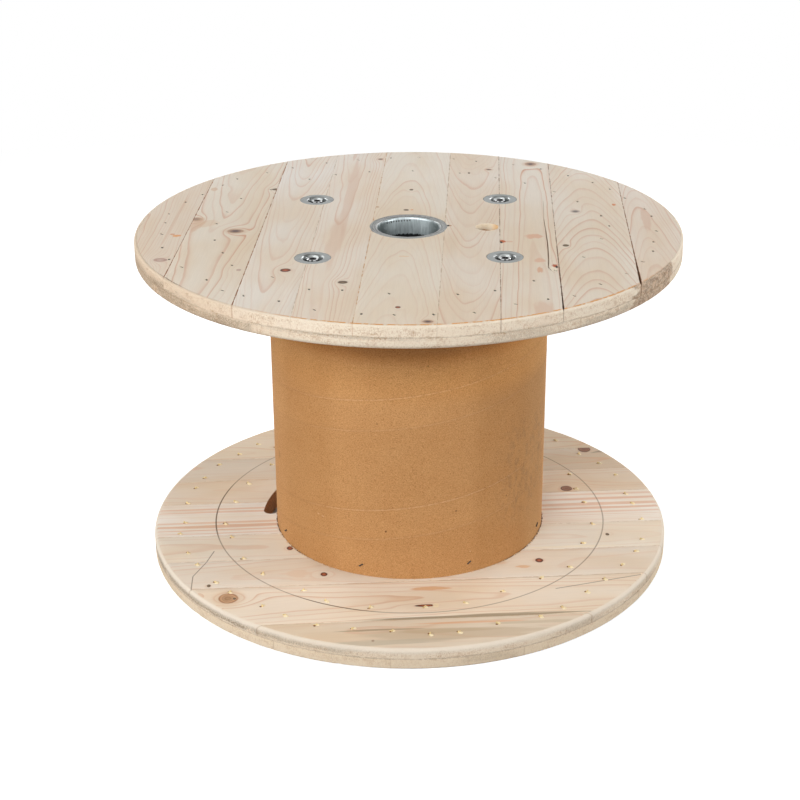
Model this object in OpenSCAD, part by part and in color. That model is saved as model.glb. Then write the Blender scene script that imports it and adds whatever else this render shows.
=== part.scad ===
// Wooden cable drum: two crossed-board flanges on a cardboard barrel, held by four tie rods.
// Origin at the centre of the lower flange's outer face, +Z along the drum's axis, millimetres.
// The boards of the top flange's outer layer run along Y.

/* [Flanges] */
// Diameter of both flanges
flange_d = 710; // [600:10:800]
// Thickness of one layer of boards
layer_t = 14.5; // [12:0.5:18]
// Width of the wide boards
wide_board = 95; // [80:1:100]
// Width of the narrow boards
narrow_board = 71.5; // [60:0.5:75]
// Gap between neighbouring boards
seam_gap = 0.8; // [0.4:0.1:2]
// Rounding of the rim on the winding side
inner_round = 6; // [2:0.5:8]
// Rounding of the rim on the outer face
outer_round = 3; // [1:0.5:6]
// Turn of the lower flange against the top one
lower_turn = 6.5; // [0:0.5:10]

/* [Barrel] */
// Clear winding width between the flanges
winding_w = 393; // [300:1:500]
// Outer diameter of the cardboard tube
barrel_d = 370; // [350:1:380]
// Wall of the cardboard tube
barrel_wall = 8; // [5:0.5:8.5]
// Depth of the groove that seats the tube
groove_depth = 7; // [4:0.5:9]
// Staples round each end of the tube
staple_count = 8; // [4:1:12]

/* [Arbor and drive] */
// Bore of the arbor bushings
arbor_d = 80; // [60:1:82]
// Sheet of the bushings
bushing_t = 1.5; // [1:0.1:2]
// Diameter of the bushing's flange
bushing_flange_d = 101; // [96:1:110]
// Teeth of the bushing's crimped crown
crown_teeth = 24; // [12:1:32]
// Diameter of the drive-pin hole
drive_d = 30; // [20:1:31]
// Distance of the drive-pin hole from the axis
drive_r = 102.5; // [100:0.5:103]

/* [Tie rods] */
// Radius of the circle that the rods stand on
rod_circle_r = 171; // [165:0.5:171]
// Diameter of a rod
rod_d = 8; // [6:1:8]
// Width of a nut across its flats
nut_flats = 13; // [10:1:13]
// Height of a nut
nut_h = 6.5; // [5:0.5:6.5]
// Diameter of a dished washer
washer_d = 46; // [40:1:50]
// Sheet of a dished washer
washer_t = 1.5; // [1:0.1:2]
// Depth of a washer's dish below its rim
dish_depth = 9; // [7:0.5:9.5]

/* [Cable entry] */
// Width of the cable slot beside the barrel
entry_w = 21; // [15:1:24]
// Length of the cable slot along its arc
entry_len = 92; // [60:1:110]
// Direction of the slot's middle, seen from the axis
entry_angle = 169.5; // [160:0.5:200]

/* [Nails] */
// Nails in the ring near the rim
rim_nails = 44; // [24:1:52]
// Nails in the ring inside the scribed circle
ring_nails = 28; // [16:1:32]
// Diameter of a nail's shank
nail_d = 2.2; // [1.8:0.1:2.8]
// Length of a nail's narrow head
nail_head_w = 5.2; // [3:0.2:7]

/* [Hidden] */
BOARD_NUMBERS = [1:9];
ROD_NUMBERS = [1:4];
$fn = 48;
cut = 1; // how far a cutter runs past the face it opens

flange_t = 2 * layer_t;
flange_r = flange_d / 2;
total_h = 2 * flange_t + winding_w;

// Seams of a layer from left to right: narrow, wide, narrow, narrow, wide and so on to the rim
w2 = wide_board / 2;
seams = [-flange_r - cut, -w2 - 2 * narrow_board - wide_board, -w2 - 2 * narrow_board, -w2 - narrow_board,
         -w2, w2, w2 + narrow_board, w2 + 2 * narrow_board, w2 + 2 * narrow_board + wide_board, flange_r + cut];
// Extra gap of the top outer layer's seams at their front and back ends, where the boards have shrunk
gap_front = [0, 0.6, 0.5, -0.3, 0, 0, 0.2, 1.4, 2.6, 0];
gap_back = [0, 0.2, 0, -0.3, 0.2, 0, 0, -0.2, -0.1, 0];
even_gap = [0, 0, 0, 0, 0, 0, 0, 0, 0, 0];

rod_angles = [45.5, 139.5, 228.5, 317]; // as drilled, a little off square
rod_hole_d = rod_d + 1;
pocket_play = 0.2; // room round a washer, or under a bushing's lip
washer_sink = 0.2; // how far the washers' rims are drawn below the face
washer_r = washer_d / 2;
washer_edge = 0.4; // easing of a washer's rim
dish_mouth_r = 13;
dish_floor_r = 10.2;
dish_floor_t = 1; // sheet of the dish's floor, thinned by the draw
dish_foot = 0.6; // rounding of the dish under its floor
dish_room = 0.5; // the dish's recess ends this much above the dish's floor
mouth_turn = 2.2; // width of the rounding at the dish's mouth
mouth_depth = 2.4; // and its depth
mouth_inset = 0.9; // how far the mouth narrows down to there
mouth_bends = [0.46, 0.12]; // the rounding's corners, as shares of its width and depth
nut_corner_r = nut_flats / 2 / cos(30);
rod_end = 2.5; // rod ends below the outer faces, a little inside the nuts

sleeve_play = 0.3;
bushing_sink = 0.2;
bushing_play = 0.3;
lip_r = 2.2; // roll of the bushing's lip
sleeve_r = arbor_d / 2 + bushing_t;
crown_h = 5; // teeth below the inner face
crown_flare = 3;
crown_play = 0.2; // the teeth start this far under the wood
notch_share = 0.8; // how much of a tooth's width the notches take at the points
notch_top = 1.5; // how far the notches run up into the sleeve

barrel_r = barrel_d / 2;
barrel_in_r = barrel_r - barrel_wall;
groove_play = 0.3;
entry_in_r = barrel_r - 0.5;
entry_mid_r = entry_in_r + entry_w / 2;
entry_half_angle = (entry_len - entry_w) / 2 / entry_mid_r * 180 / PI;

nail_head_t = 1.2;
nail_head_side = 2.4;
nail_play = 0.3; // room round the head where it has crushed the wood
nail_sink = 0.7; // how deep the heads are driven
nail_round = 0.3;
nail_tip = 4.4; // length of the clinched tip from the shank's axis
nail_point_d = 0.9;
tip_play = 0.1; // between a clinched tip and the wood
clinch_d = nail_d * 0.8;
clinch_angle = 85; // from straight up, so the tip points back at the wood
rim_nail_r = 320;
ring_nail_r = 256;
rim_stray = 6; // how far hand-driven nails stray from their ring
ring_stray = 7;
ring_swing = 0.22; // and along it, as a share of the space between two nails
seam_clear = 5; // nails keep this far from the seams of both layers
top_nail_way = -62; // most heads on top lie roughly along the grain
top_nail_spread = 34;
top_nail_places = nail_places(3, top_nail_way, top_nail_spread);
bottom_nail_places = nail_places(7, 0, 180);
staple_wire = 1.3;
staple_crown_d = 1.5; // the crown is a little flattened by the driver
staple_crown = 6.3;
staple_lean = 36; // slant of the crown
staple_leg = 30;
staple_rise = 15; // crowns above the flange
staple_turn = 24; // first staple, from the +X direction

wood_outer = [0.85, 0.78, 0.68];
wood_inner = [0.87, 0.78, 0.66];
zinc = [0.68, 0.7, 0.71];

// ---- helpers ----

// Puts a flange drawn face up, with its outer face at z = 0, on top of the drum
module on_top() { translate([0, 0, total_h]) children(); }

// The same flange turned over and twisted under the drum
module below() { rotate([0, 0, lower_turn]) rotate([180, 0, 0]) children(); }

// Puts a child on each of the four rods' axes
module at_rods() { for (a = rod_angles) rotate([0, 0, a]) translate([rod_circle_r, 0, 0]) children(); }

// The same rods, in the frame of the flange that lies turned over under them
module at_rods_below() {
    rotate([180, 0, 0]) rotate([0, 0, -lower_turn]) at_rods() rotate([180, 0, 0]) children();
}

// Full disc with both rims rounded, outer face at z = 0 and winding face at z = -flange_t
module flange_disc() {
    rotate_extrude($fn = 96)
        difference() {
            translate([0, -flange_t]) square([flange_r, flange_t]);
            corner_cut(flange_r, 0, outer_round, 1);
            corner_cut(flange_r, -flange_t, inner_round, -1);
        }
}

// Cuts a profile's outer corner back to a quarter round
module corner_cut(r, z, round_r, up) {
    difference() {
        translate([r - round_r, up > 0 ? z - round_r : z - cut]) square([round_r + cut, round_r + cut]);
        translate([r - round_r, z - up * round_r]) circle(r = round_r);
    }
}

// One board's strip along Y between two seams, with its own gaps at the front and back end
module strip(k, z0, z1, front, back) {
    h = seam_gap / 2;
    left_f = seams[k] + h + front[k] / 2;
    left_b = seams[k] + h + back[k] / 2;
    right_f = seams[k + 1] - h - front[k + 1] / 2;
    right_b = seams[k + 1] - h - back[k + 1] / 2;
    reach = flange_r + cut;
    translate([0, 0, z0])
        linear_extrude(height = z1 - z0)
            polygon([[left_f, -reach], [right_f, -reach], [right_b, reach], [left_b, reach]]);
}

// Holes that both layers of either flange share: sleeve, drive pin and rods
module arbor_hole() {
    translate([0, 0, -flange_t - cut]) cylinder(r = sleeve_r + sleeve_play, h = flange_t + 2 * cut);
}
module drive_hole() {
    translate([drive_r, 0, -flange_t - cut]) cylinder(d = drive_d, h = flange_t + 2 * cut, $fn = 64);
}
module rod_hole() { translate([0, 0, -flange_t - cut]) cylinder(d = rod_hole_d, h = flange_t + 2 * cut); }

// Recess of a dished washer in the outer face
module washer_pocket() {
    seat = washer_sink + washer_t;
    translate([0, 0, -seat]) cylinder(r = washer_r + pocket_play, h = seat + cut);
    translate([0, 0, -seat - dish_depth + dish_room])
        cylinder(r = dish_mouth_r + washer_t + pocket_play, h = dish_depth);
}

// Recess of the bushing's flange in the outer face
module bushing_pocket() {
    seat = bushing_sink + bushing_t;
    translate([0, 0, -seat]) cylinder(r = bushing_flange_d / 2 + bushing_play, h = seat + cut);
    translate([0, 0, -seat - lip_r]) cylinder(r = sleeve_r + lip_r + pocket_play, h = seat + lip_r);
}

// Groove that seats the end of the tube
module tube_groove() {
    translate([0, 0, -flange_t - cut])
        difference() {
            cylinder(r = barrel_r + groove_play, h = groove_depth + cut, $fn = 96);
            translate([0, 0, -cut])
                cylinder(r = barrel_in_r - groove_play, h = groove_depth + 3 * cut, $fn = 96);
        }
}

// Arc slot with round ends, close along the barrel, where the first turn of cable goes out
module entry_slot() {
    z0 = -flange_t - cut;
    h = flange_t + 2 * cut;
    slot_turn = lower_turn - entry_angle; // the flange lies turned over
    translate([0, 0, z0])
        rotate([0, 0, slot_turn - entry_half_angle])
            rotate_extrude(angle = 2 * entry_half_angle, $fn = 96)
                translate([entry_in_r, 0]) square([entry_w, h]);
    for (a = [-entry_half_angle, entry_half_angle])
        rotate([0, 0, slot_turn + a]) translate([entry_mid_r, 0, z0]) cylinder(d = entry_w, h = h);
}

// ---- boards ----

module outer_board(k, front, back, lower) {
    color(wood_outer)
        difference() {
            intersection() {
                flange_disc();
                strip(k, -layer_t, cut, front, back);
            }
            arbor_hole();
            bushing_pocket();
            drive_hole();
            nail_seats(lower ? bottom_nail_places : top_nail_places, 0, seams[k], seams[k + 1]);
            if (lower) {
                at_rods_below() rod_hole_both();
                entry_slot();
            } else {
                at_rods() rod_hole_both();
            }
        }
}

// A rod's hole with the washer's recess
module rod_hole_both() {
    rod_hole();
    washer_pocket();
}

module inner_board(k, lower) {
    color(wood_inner)
        difference() {
            intersection() {
                flange_disc();
                rotate([0, 0, 90]) strip(k, -flange_t - cut, -layer_t, even_gap, even_gap);
            }
            arbor_hole();
            drive_hole();
            tube_groove();
            nail_seats(lower ? bottom_nail_places : top_nail_places, 1, seams[k], seams[k + 1]);
            if (lower) {
                at_rods_below() rod_hole();
                entry_slot();
            } else {
                at_rods() rod_hole();
            }
        }
}

module top_outer_board(i) { on_top() outer_board(i - 1, gap_front, gap_back, false); }
module top_inner_board(i) { on_top() inner_board(i - 1, false); }
module bottom_inner_board(i) { below() inner_board(i - 1, true); }
module bottom_outer_board(i) { below() outer_board(i - 1, even_gap, even_gap, true); }

// ---- barrel ----

module barrel_tube() {
    color([0.72, 0.53, 0.34])
        translate([0, 0, flange_t - groove_depth])
            difference() {
                cylinder(r = barrel_r, h = winding_w + 2 * groove_depth, $fn = 128);
                translate([0, 0, -cut]) cylinder(r = barrel_in_r, h = total_h, $fn = 128);
            }
}

// ---- bushings ----

// Pressed sheet: flat flange, rolled lip, sleeve through both layers and a crown bent out under them
module bushing() {
    under = -flange_t - crown_play;
    color(zinc)
        difference() {
            rotate_extrude($fn = 96) bushing_profile(-bushing_sink, under);
            crown_notches(under);
        }
}

module bushing_profile(top, under) {
    in_r = arbor_d / 2;
    lip_x = sleeve_r + lip_r;
    lip_z = top - lip_r - bushing_t;
    difference() {
        polygon([[in_r, lip_z], [in_r, under], [in_r + crown_flare, under - crown_h],
                 [sleeve_r + crown_flare, under - crown_h], [sleeve_r, under], [sleeve_r, lip_z],
                 [lip_x, top - bushing_t], [bushing_flange_d / 2, top - bushing_t], [bushing_flange_d / 2, top],
                 [in_r, top]]);
        difference() {
            translate([in_r - cut, lip_z]) square([lip_r + bushing_t + cut, lip_r + bushing_t + cut]);
            translate([lip_x, lip_z]) circle(r = lip_r + bushing_t);
        }
        translate([lip_x, lip_z]) circle(r = lip_r);
    }
}

// V cuts that part the crown into teeth
module crown_notches(under) {
    notch_w = PI * arbor_d / crown_teeth * notch_share;
    reach = 3; // how far the cutters run past the sheet on both sides
    for (i = [0:crown_teeth - 1])
        rotate([0, 0, 360 / crown_teeth * (i + 0.5)])
            translate([arbor_d / 2 - reach, 0, under])
                rotate([90, 0, 90])
                    linear_extrude(height = bushing_t + crown_flare + 2 * reach)
                        polygon([[0, notch_top], [notch_w / 2, -crown_h - cut],
                                 [-notch_w / 2, -crown_h - cut]]);
}

module top_bushing() { on_top() bushing(); }
module bottom_bushing() { below() bushing(); }

// ---- tie rods, washers and nuts ----

module tie_rod(i) {
    chamfer = 0.8;
    length = total_h - 2 * rod_end;
    color(zinc * 0.8)
        rotate([0, 0, rod_angles[i - 1]])
            translate([rod_circle_r, 0, rod_end])
                rotate_extrude()
                    polygon([[0, 0], [rod_d / 2 - chamfer, 0], [rod_d / 2, chamfer],
                             [rod_d / 2, length - chamfer], [rod_d / 2 - chamfer, length], [0, length]]);
}

// Dished washer: flat rim, rounded mouth, tapered cup and a flat floor that the nut pulls on
module dished_washer() {
    top = -washer_sink;
    under_z = top - washer_t;
    foot_z = under_z - dish_depth + dish_floor_t;
    floor_z = top - dish_depth + dish_floor_t;
    color(zinc)
        rotate_extrude()
            difference() {
                polygon([[rod_hole_d / 2, foot_z], [dish_floor_r + dish_foot, foot_z],
                         [dish_floor_r + washer_t, foot_z + dish_foot],
                         [dish_mouth_r + washer_t - mouth_inset, under_z - mouth_depth * mouth_bends[0]],
                         [dish_mouth_r + washer_t, under_z],
                         [washer_r, under_z], [washer_r, top - washer_edge], [washer_r - washer_edge, top],
                         [rod_hole_d / 2, top]]);
                polygon([[0, floor_z], [dish_floor_r, floor_z],
                         [dish_mouth_r - mouth_inset, top - mouth_depth],
                         [dish_mouth_r, top - mouth_depth * mouth_bends[0]],
                         [dish_mouth_r + mouth_turn * mouth_bends[0], top - mouth_depth * mouth_bends[1]],
                         [dish_mouth_r + mouth_turn, top], [dish_mouth_r + mouth_turn, top + cut],
                         [0, top + cut]]);
            }
}

// Hex nut with chamfered corners, sitting on the floor of the dish
module hex_nut() {
    floor_z = -washer_sink - dish_depth + dish_floor_t;
    chamfer = 0.9;
    chamfer_h = chamfer * 0.6; // nuts are chamfered at 30 degrees
    color(zinc * 1.1)
        translate([0, 0, floor_z])
            difference() {
                intersection() {
                    rotate([0, 0, 30]) cylinder(r = nut_corner_r, h = nut_h, $fn = 6);
                    rotate_extrude()
                        polygon([[0, 0], [nut_corner_r - chamfer, 0], [nut_corner_r, chamfer_h],
                                 [nut_corner_r, nut_h - chamfer_h], [nut_corner_r - chamfer, nut_h],
                                 [0, nut_h]]);
                }
                translate([0, 0, -cut]) cylinder(d = rod_d, h = nut_h + 2 * cut);
            }
}

module top_washers() { on_top() at_rods() dished_washer(); }
module bottom_washers() { below() at_rods_below() dished_washer(); }
module top_nuts() { on_top() at_rods() hex_nut(); }
module bottom_nuts() { below() at_rods_below() hex_nut(); }

// ---- nails ----

// Places of a flange's nails: two rings, each nail a little off its even place, as [x, y, lean]
function nail_places(seed, way, spread) =
    concat(ring_places(rim_nails, rim_nail_r, rim_stray, seed, way, spread),
           ring_places(ring_nails, ring_nail_r, ring_stray, seed + 1, way, spread));

function ring_places(count, ring_r, stray, seed, way, spread) =
    let (swing = rands(-ring_swing, ring_swing, count, seed),
         push = rands(-stray, stray, count, seed + 10),
         lean = rands(way - spread, way + spread, count, seed + 20))
    [for (i = [0:count - 1])
        let (a = 360 / count * (i + swing[i]), r = ring_r + push[i])
        [off_seam(r * cos(a)), off_seam(r * sin(a)), lean[i]]];

// Moves a coordinate away from the seam that it is too close to
function off_seam(v) =
    let (near = [for (s = seams) if (abs(v - s) < seam_clear) s])
    len(near) == 0 ? v : near[0] + (v < near[0] ? -seam_clear : seam_clear);

// Nail driven through both layers: narrow sunk head outside, tip clinched over on the winding side
module nail(lean) {
    bend_z = -flange_t - clinch_d / 2 - tip_play;
    end_z = bend_z - clinch_d / 2 - 2 * nail_round;
    neck_z = -nail_sink - nail_head_t;
    color(zinc * 0.7) rotate([0, 0, lean]) {
        rotate_extrude($fn = 16)
            polygon([[0, end_z], [nail_d / 2 - nail_round, end_z], [nail_d / 2, end_z + nail_round],
                     [nail_d / 2, neck_z + nail_head_t / 2], [0, neck_z + nail_head_t / 2]]);
        translate([-nail_head_w / 2, -nail_head_side / 2, neck_z])
            cube([nail_head_w, nail_head_side, nail_head_t]);
        translate([0, 0, bend_z])
            rotate([0, clinch_angle, 0]) cylinder(d1 = clinch_d, d2 = nail_point_d, h = nail_tip, $fn = 16);
    }
}

// What a nail leaves in the wood: its shank's way through both layers and the mouth over its head
module nail_seat(lean) {
    mouth_w = nail_head_w + 2 * nail_play;
    mouth_side = nail_head_side + 2 * nail_play;
    neck_z = -nail_sink - nail_head_t;
    translate([0, 0, -flange_t - cut]) cylinder(d = nail_d, h = flange_t, $fn = 16);
    rotate([0, 0, lean])
        translate([-mouth_w / 2, -mouth_side / 2, neck_z]) cube([mouth_w, mouth_side, cut - neck_z]);
}

// Seats of the nails that stand between two seams, across (0) or along (1) the outer boards
module nail_seats(places, axis, low, high) {
    for (p = places) if (p[axis] > low && p[axis] < high) translate([p.x, p.y, 0]) nail_seat(p.z);
}

module nails(places) { for (p = places) translate([p.x, p.y, 0]) nail(p.z); }

module top_nails() { on_top() nails(top_nail_places); }
module bottom_nails() { below() nails(bottom_nail_places); }

// ---- staples ----

// Staple driven aslant through the tube's wall and down into the board under it
module staple() {
    leg_y = (staple_crown - staple_crown_d) / 2;
    color([0.35, 0.33, 0.3])
        translate([barrel_r + staple_crown_d / 2, 0, staple_rise])
            rotate([-staple_lean, 0, 0]) {
                translate([0, -staple_crown / 2, 0])
                    rotate([-90, 0, 0]) cylinder(d = staple_crown_d, h = staple_crown, $fn = 16);
                for (y = [-leg_y, leg_y])
                    translate([0, y, 0])
                        rotate([0, -135, 0]) cylinder(d = staple_wire, h = staple_leg, $fn = 16);
            }
}

module staple_ring() {
    for (i = [0:staple_count - 1])
        rotate([0, 0, staple_turn + 360 / staple_count * i])
            translate([0, 0, -flange_t]) mirror([0, 0, 1]) staple();
}

module top_staples() { on_top() staple_ring(); }
module bottom_staples() { below() staple_ring(); }

// ---- assembly ----

for (i = BOARD_NUMBERS) top_outer_board(i);
for (i = BOARD_NUMBERS) top_inner_board(i);
for (i = BOARD_NUMBERS) bottom_inner_board(i);
for (i = BOARD_NUMBERS) bottom_outer_board(i);
barrel_tube();
top_bushing();
bottom_bushing();
for (i = ROD_NUMBERS) tie_rod(i);
top_washers();
bottom_washers();
top_nuts();
bottom_nuts();
top_nails();
bottom_nails();
top_staples();
bottom_staples();
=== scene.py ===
import math
import random

import bmesh
import bpy
from mathutils import Matrix, Quaternion, Vector


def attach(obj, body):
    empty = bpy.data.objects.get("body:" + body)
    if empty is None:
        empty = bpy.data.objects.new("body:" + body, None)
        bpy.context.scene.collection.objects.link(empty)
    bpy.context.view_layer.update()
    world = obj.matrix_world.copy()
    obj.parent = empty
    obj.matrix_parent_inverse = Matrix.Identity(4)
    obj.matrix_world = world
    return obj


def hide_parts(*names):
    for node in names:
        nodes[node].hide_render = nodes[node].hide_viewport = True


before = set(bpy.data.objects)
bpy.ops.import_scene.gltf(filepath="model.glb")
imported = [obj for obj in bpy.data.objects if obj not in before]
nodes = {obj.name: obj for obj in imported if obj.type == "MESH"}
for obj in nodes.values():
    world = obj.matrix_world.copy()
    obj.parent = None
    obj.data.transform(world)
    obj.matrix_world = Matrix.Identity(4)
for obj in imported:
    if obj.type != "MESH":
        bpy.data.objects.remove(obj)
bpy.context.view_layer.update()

rng = random.Random(11)
bpy.ops.object.select_all(action="DESELECT")
print("frame loaded:", len(nodes), "nodes")

view = {"place": (0.096538, -2.125921, 1.151565), "aim": (-0.012305, -0.00063, 0.202617),
        "lens": 76.8535, "roll": -0.3315, "sensor": 36, "farthest": 60}
bpy.ops.object.camera_add(location=view["place"])
camera = bpy.context.object
look = Vector(view["aim"]) - Vector(view["place"])
camera.rotation_mode = "QUATERNION"
camera.rotation_quaternion = look.to_track_quat("-Z", "Y") @ Quaternion((0, 0, 1), math.radians(view["roll"]))
camera.data.lens = view["lens"]
camera.data.sensor_width = view["sensor"]
camera.data.clip_end = view["farthest"]
bpy.context.scene.camera = camera
bpy.context.scene.view_settings.view_transform = "Standard"


class Wire:
    # an output socket that takes + - * / and abs, and adds the Math nodes for them
    def __init__(self, finish, socket):
        self.finish, self.socket = finish, socket

    def __abs__(self):
        return self.finish.maths("ABSOLUTE", self)

    def step(self, low, high):
        # 0 below low and 1 above high, smooth between them; low above high turns it round
        return self.finish.node("MapRange", {"interpolation_type": "SMOOTHSTEP"},
                                {"Value": self, "From Min": low, "From Max": high})

    def within(self, low, high, soft):
        return self.step(low - soft, low + soft) * self.step(high + soft, high - soft)


for sign, operation in (("add", "ADD"), ("sub", "SUBTRACT"), ("mul", "MULTIPLY"), ("truediv", "DIVIDE")):
    setattr(Wire, f"__{sign}__", lambda self, other, op=operation: self.finish.maths(op, self, other))
    setattr(Wire, f"__r{sign}__", lambda self, other, op=operation: self.finish.maths(op, other, self))


def tone(red, green, blue):
    # a colour given in 0-255 as seen on a screen
    seen = [c / 255 for c in (red, green, blue)]
    return tuple(c / 12.92 if c <= 0.04045 else ((c + 0.055) / 1.055) ** 2.4 for c in seen) + (1.0,)


class Finish:
    def __init__(self, name, tree=None):
        if tree is None:
            self.material = bpy.data.materials.new(name)
            self.material.use_nodes = True
            tree = self.material.node_tree
        self.tree = tree
        self.tree.nodes.clear()

    def node(self, kind, settings=None, sockets=None, out=0):
        made = self.tree.nodes.new("ShaderNode" + kind)
        for key, value in (settings or {}).items():
            setattr(made, key, value)
        for key, value in (sockets or {}).items():
            if isinstance(value, Wire):
                self.tree.links.new(value.socket, made.inputs[key])
            else:
                made.inputs[key].default_value = value
        if isinstance(out, tuple):
            return [Wire(self, made.outputs[o]) for o in out]
        return Wire(self, made.outputs[out]) if len(made.outputs) else made

    def maths(self, operation, a, b=0.0):
        return self.node("Math", {"operation": operation}, {0: a, 1: b})

    def larger(self, a, b):
        return self.maths("MAXIMUM", a, b)

    def length(self, a, b):
        return self.maths("SQRT", a * a + b * b)

    def oval(self, u, v, halfLong, halfWide):
        # 1 on an oval's outline and less inside
        return self.length(u * (1 / halfLong), v * (1 / halfWide))

    def degrees(self, y, x):
        return self.maths("ARCTAN2", y, x) * (180 / math.pi)

    def parts(self, vector, out=("X", "Y", "Z")):
        return self.node("SeparateXYZ", {}, {"Vector": vector}, out=out)

    def point(self, x, y, z=0.0):
        return self.node("CombineXYZ", {}, {"X": x, "Y": y, "Z": z})

    def inMillimetres(self, place, turn=0.0):
        scale = (1000, 1000, 1000)
        return self.node("Mapping", {}, {"Vector": place, "Rotation": (0, 0, turn), "Scale": scale})

    def noise(self, vector, scale, seed, detail=2.0, rough=0.5):
        shift = (seed * 3.7, seed * 9.1, seed * 5.3)
        moved = self.node("Mapping", {}, {"Vector": vector, "Location": shift, "Scale": scale})
        return self.node("TexNoise", {},
                         {"Vector": moved, "Scale": 1.0, "Detail": detail, "Roughness": rough})

    def blend(self, factor, a, b, how="MIX"):
        # three numbers are a tone in 0-255
        a, b = [tone(*c) if isinstance(c, tuple) and len(c) == 3 else c for c in (a, b)]
        return self.node("Mix", {"data_type": "RGBA", "blend_type": how}, {0: factor, 6: a, 7: b}, out=2)

    def paint(self, level, shade):
        # lays a colour over what is there
        self.colour = self.blend(level, self.colour, shade)

    def dim(self, level, by):
        # takes every channel times its own number
        self.paint(level, self.blend(1.0, self.colour, (*by, 1), "MULTIPLY"))

    def surface(self, rough, metallic, height, bumpDistance, bumpStrength, **fixed):
        bump = self.node("Bump", {}, {"Height": height, "Distance": bumpDistance, "Strength": bumpStrength})
        sockets = {"Base Color": self.colour, "Roughness": rough, "Metallic": metallic, "Normal": bump}
        sockets.update({key.replace("_", " "): value for key, value in fixed.items()})
        self.node("OutputMaterial", {}, {"Surface": self.node("BsdfPrincipled", {}, sockets)})
        return self.material


# place, width and power of each lamp
lamps = {
    "front": ((-0.93, -2.55, 1.95), 1.6, 53), "left": ((-2.49, -1.75, 1.24), 1.6, 36),
    "right": ((3.0, -0.53, 1.24), 1.6, 51), "behind_left": ((-1.89, 2.2, 2.0), 1.4, 31),
    "behind_right": ((1.68, 2.36, 2.0), 1.4, 31),
}
lampHeight = 0.8
lampAim = Vector((0, 0, 0.22))
for name, (place, width, power) in lamps.items():
    bpy.ops.object.light_add(type="AREA", location=place)
    light = bpy.context.object
    light.name = "lamp_" + name
    light.data.shape = "RECTANGLE"
    light.data.size, light.data.size_y = width, lampHeight
    light.data.energy = power
    light.rotation_mode = "QUATERNION"
    light.rotation_quaternion = (lampAim - Vector(place)).to_track_quat("-Z", "Y")

# the room is white to the camera and in reflections, and dim as a light;
# overhead it is dark, which only polished metal shows
roomLook = {"level": 0.1, "darkFrom": (0.45, 0.66), "darkBehind": (-0.18, 0.06), "dark": 0.88}
world = bpy.data.worlds.new("room")
bpy.context.scene.world = world
world.use_nodes = True
room = Finish("room", world.node_tree)
toCamera, inGloss, through = [room.node("LightPath", out=f"Is {ray} Ray")
                              for ray in ("Camera", "Glossy", "Transmission")]
wayY, wayZ = room.parts(room.node("TexCoord", out="Generated"), ("Y", "Z"))
overhead = wayZ.step(*roomLook["darkFrom"]) * wayY.step(*roomLook["darkBehind"]) * roomLook["dark"]
white = room.larger(room.larger(toCamera, inGloss * (1 - overhead)), through)
room.node("OutputWorld", {}, {"Surface": room.node("Background", {}, {
    "Color": (1, 1, 1, 1), "Strength": roomLook["level"] + white * (1 - roomLook["level"])})})

# far from the drum the floor runs into the white backdrop, and dark shows through the drum's holes
floorLook = {"size": 40, "under": -0.0006, "plain": 0.4, "pale": 0.8, "lift": 0.6, "backdrop": 1.0,
             "whiteFrom": (1.0, 2.2), "darkWithin": (0.34, 0.32)}
bpy.ops.mesh.primitive_plane_add(size=floorLook["size"], location=(0, 0, floorLook["under"]))
floor = bpy.context.object
floor.name = "floor"
ground = Finish("pale_floor")
toCamera, inGloss = ground.node("LightPath", out=("Is Camera Ray", "Is Glossy Ray"))
plain, pale = [ground.node("BsdfDiffuse", {}, {"Color": (floorLook[key],) * 3 + (1,)})
               for key in ("plain", "pale")]
lift, backdrop = [ground.node("Emission", {}, {"Color": (1, 1, 1, 1), "Strength": floorLook[key]})
                  for key in ("lift", "backdrop")]
place = ground.node("TexCoord", out="Object")
away = ground.node("VectorMath", {"operation": "LENGTH"}, {0: place}, out="Value")
lifted = ground.node("AddShader", {}, {0: pale, 1: lift})
lifted = ground.node("MixShader", {}, {0: away.step(*floorLook["whiteFrom"]), 1: lifted, 2: backdrop})
lifted = ground.node("MixShader", {}, {0: away.step(*floorLook["darkWithin"]), 1: lifted, 2: plain})
shown = ground.node("MixShader", {}, {0: ground.larger(toCamera, inGloss), 1: plain, 2: lifted})
ground.node("OutputMaterial", {}, {"Surface": shown})
floor.data.materials.append(ground.material)
print("camera, lamps and floor")

# the drum's measures in mm, as in the frame
drum = {
    "radius": 355.0, "height": 451.0, "layer": 14.5, "turn": math.radians(6.5), "cut": 356,
    "seams": [-355, -285.5, -190.5, -119, -47.5, 47.5, 119, 190.5, 285.5, 355], "seamGap": 0.4,
    "gapFront": [0, 0.6, 0.5, -0.3, 0, 0, 0.2, 1.4, 2.6, 0],
    "gapBack": [0, 0.2, 0, -0.3, 0.2, 0, 0, -0.2, -0.1, 0],
    "driveHole": {"x": 102.5, "radius": 15.0}, "cableSlot": {"from": 183.6, "to": 206.5, "beyond": 149},
    "groove": 183.1, "scribed": {"radius": 270.5, "half": 0.9},
}

# alongY: grain along the layer's own Y; face: height of its open face; down: which way the wood lies from it
layers = {
    "top_outer": {"alongY": True, "turned": False, "face": 451.0, "down": -1, "slot": "top_boards"},
    "top_inner": {"alongY": False, "turned": False, "face": 422.0, "down": 1, "slot": "top_boards"},
    "bottom_inner": {"alongY": False, "turned": True, "face": 29.0, "down": -1, "slot": "bottom_boards"},
    "bottom_outer": {"alongY": True, "turned": True, "face": 0.0, "down": 1, "slot": "bottom_boards"},
}

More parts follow.
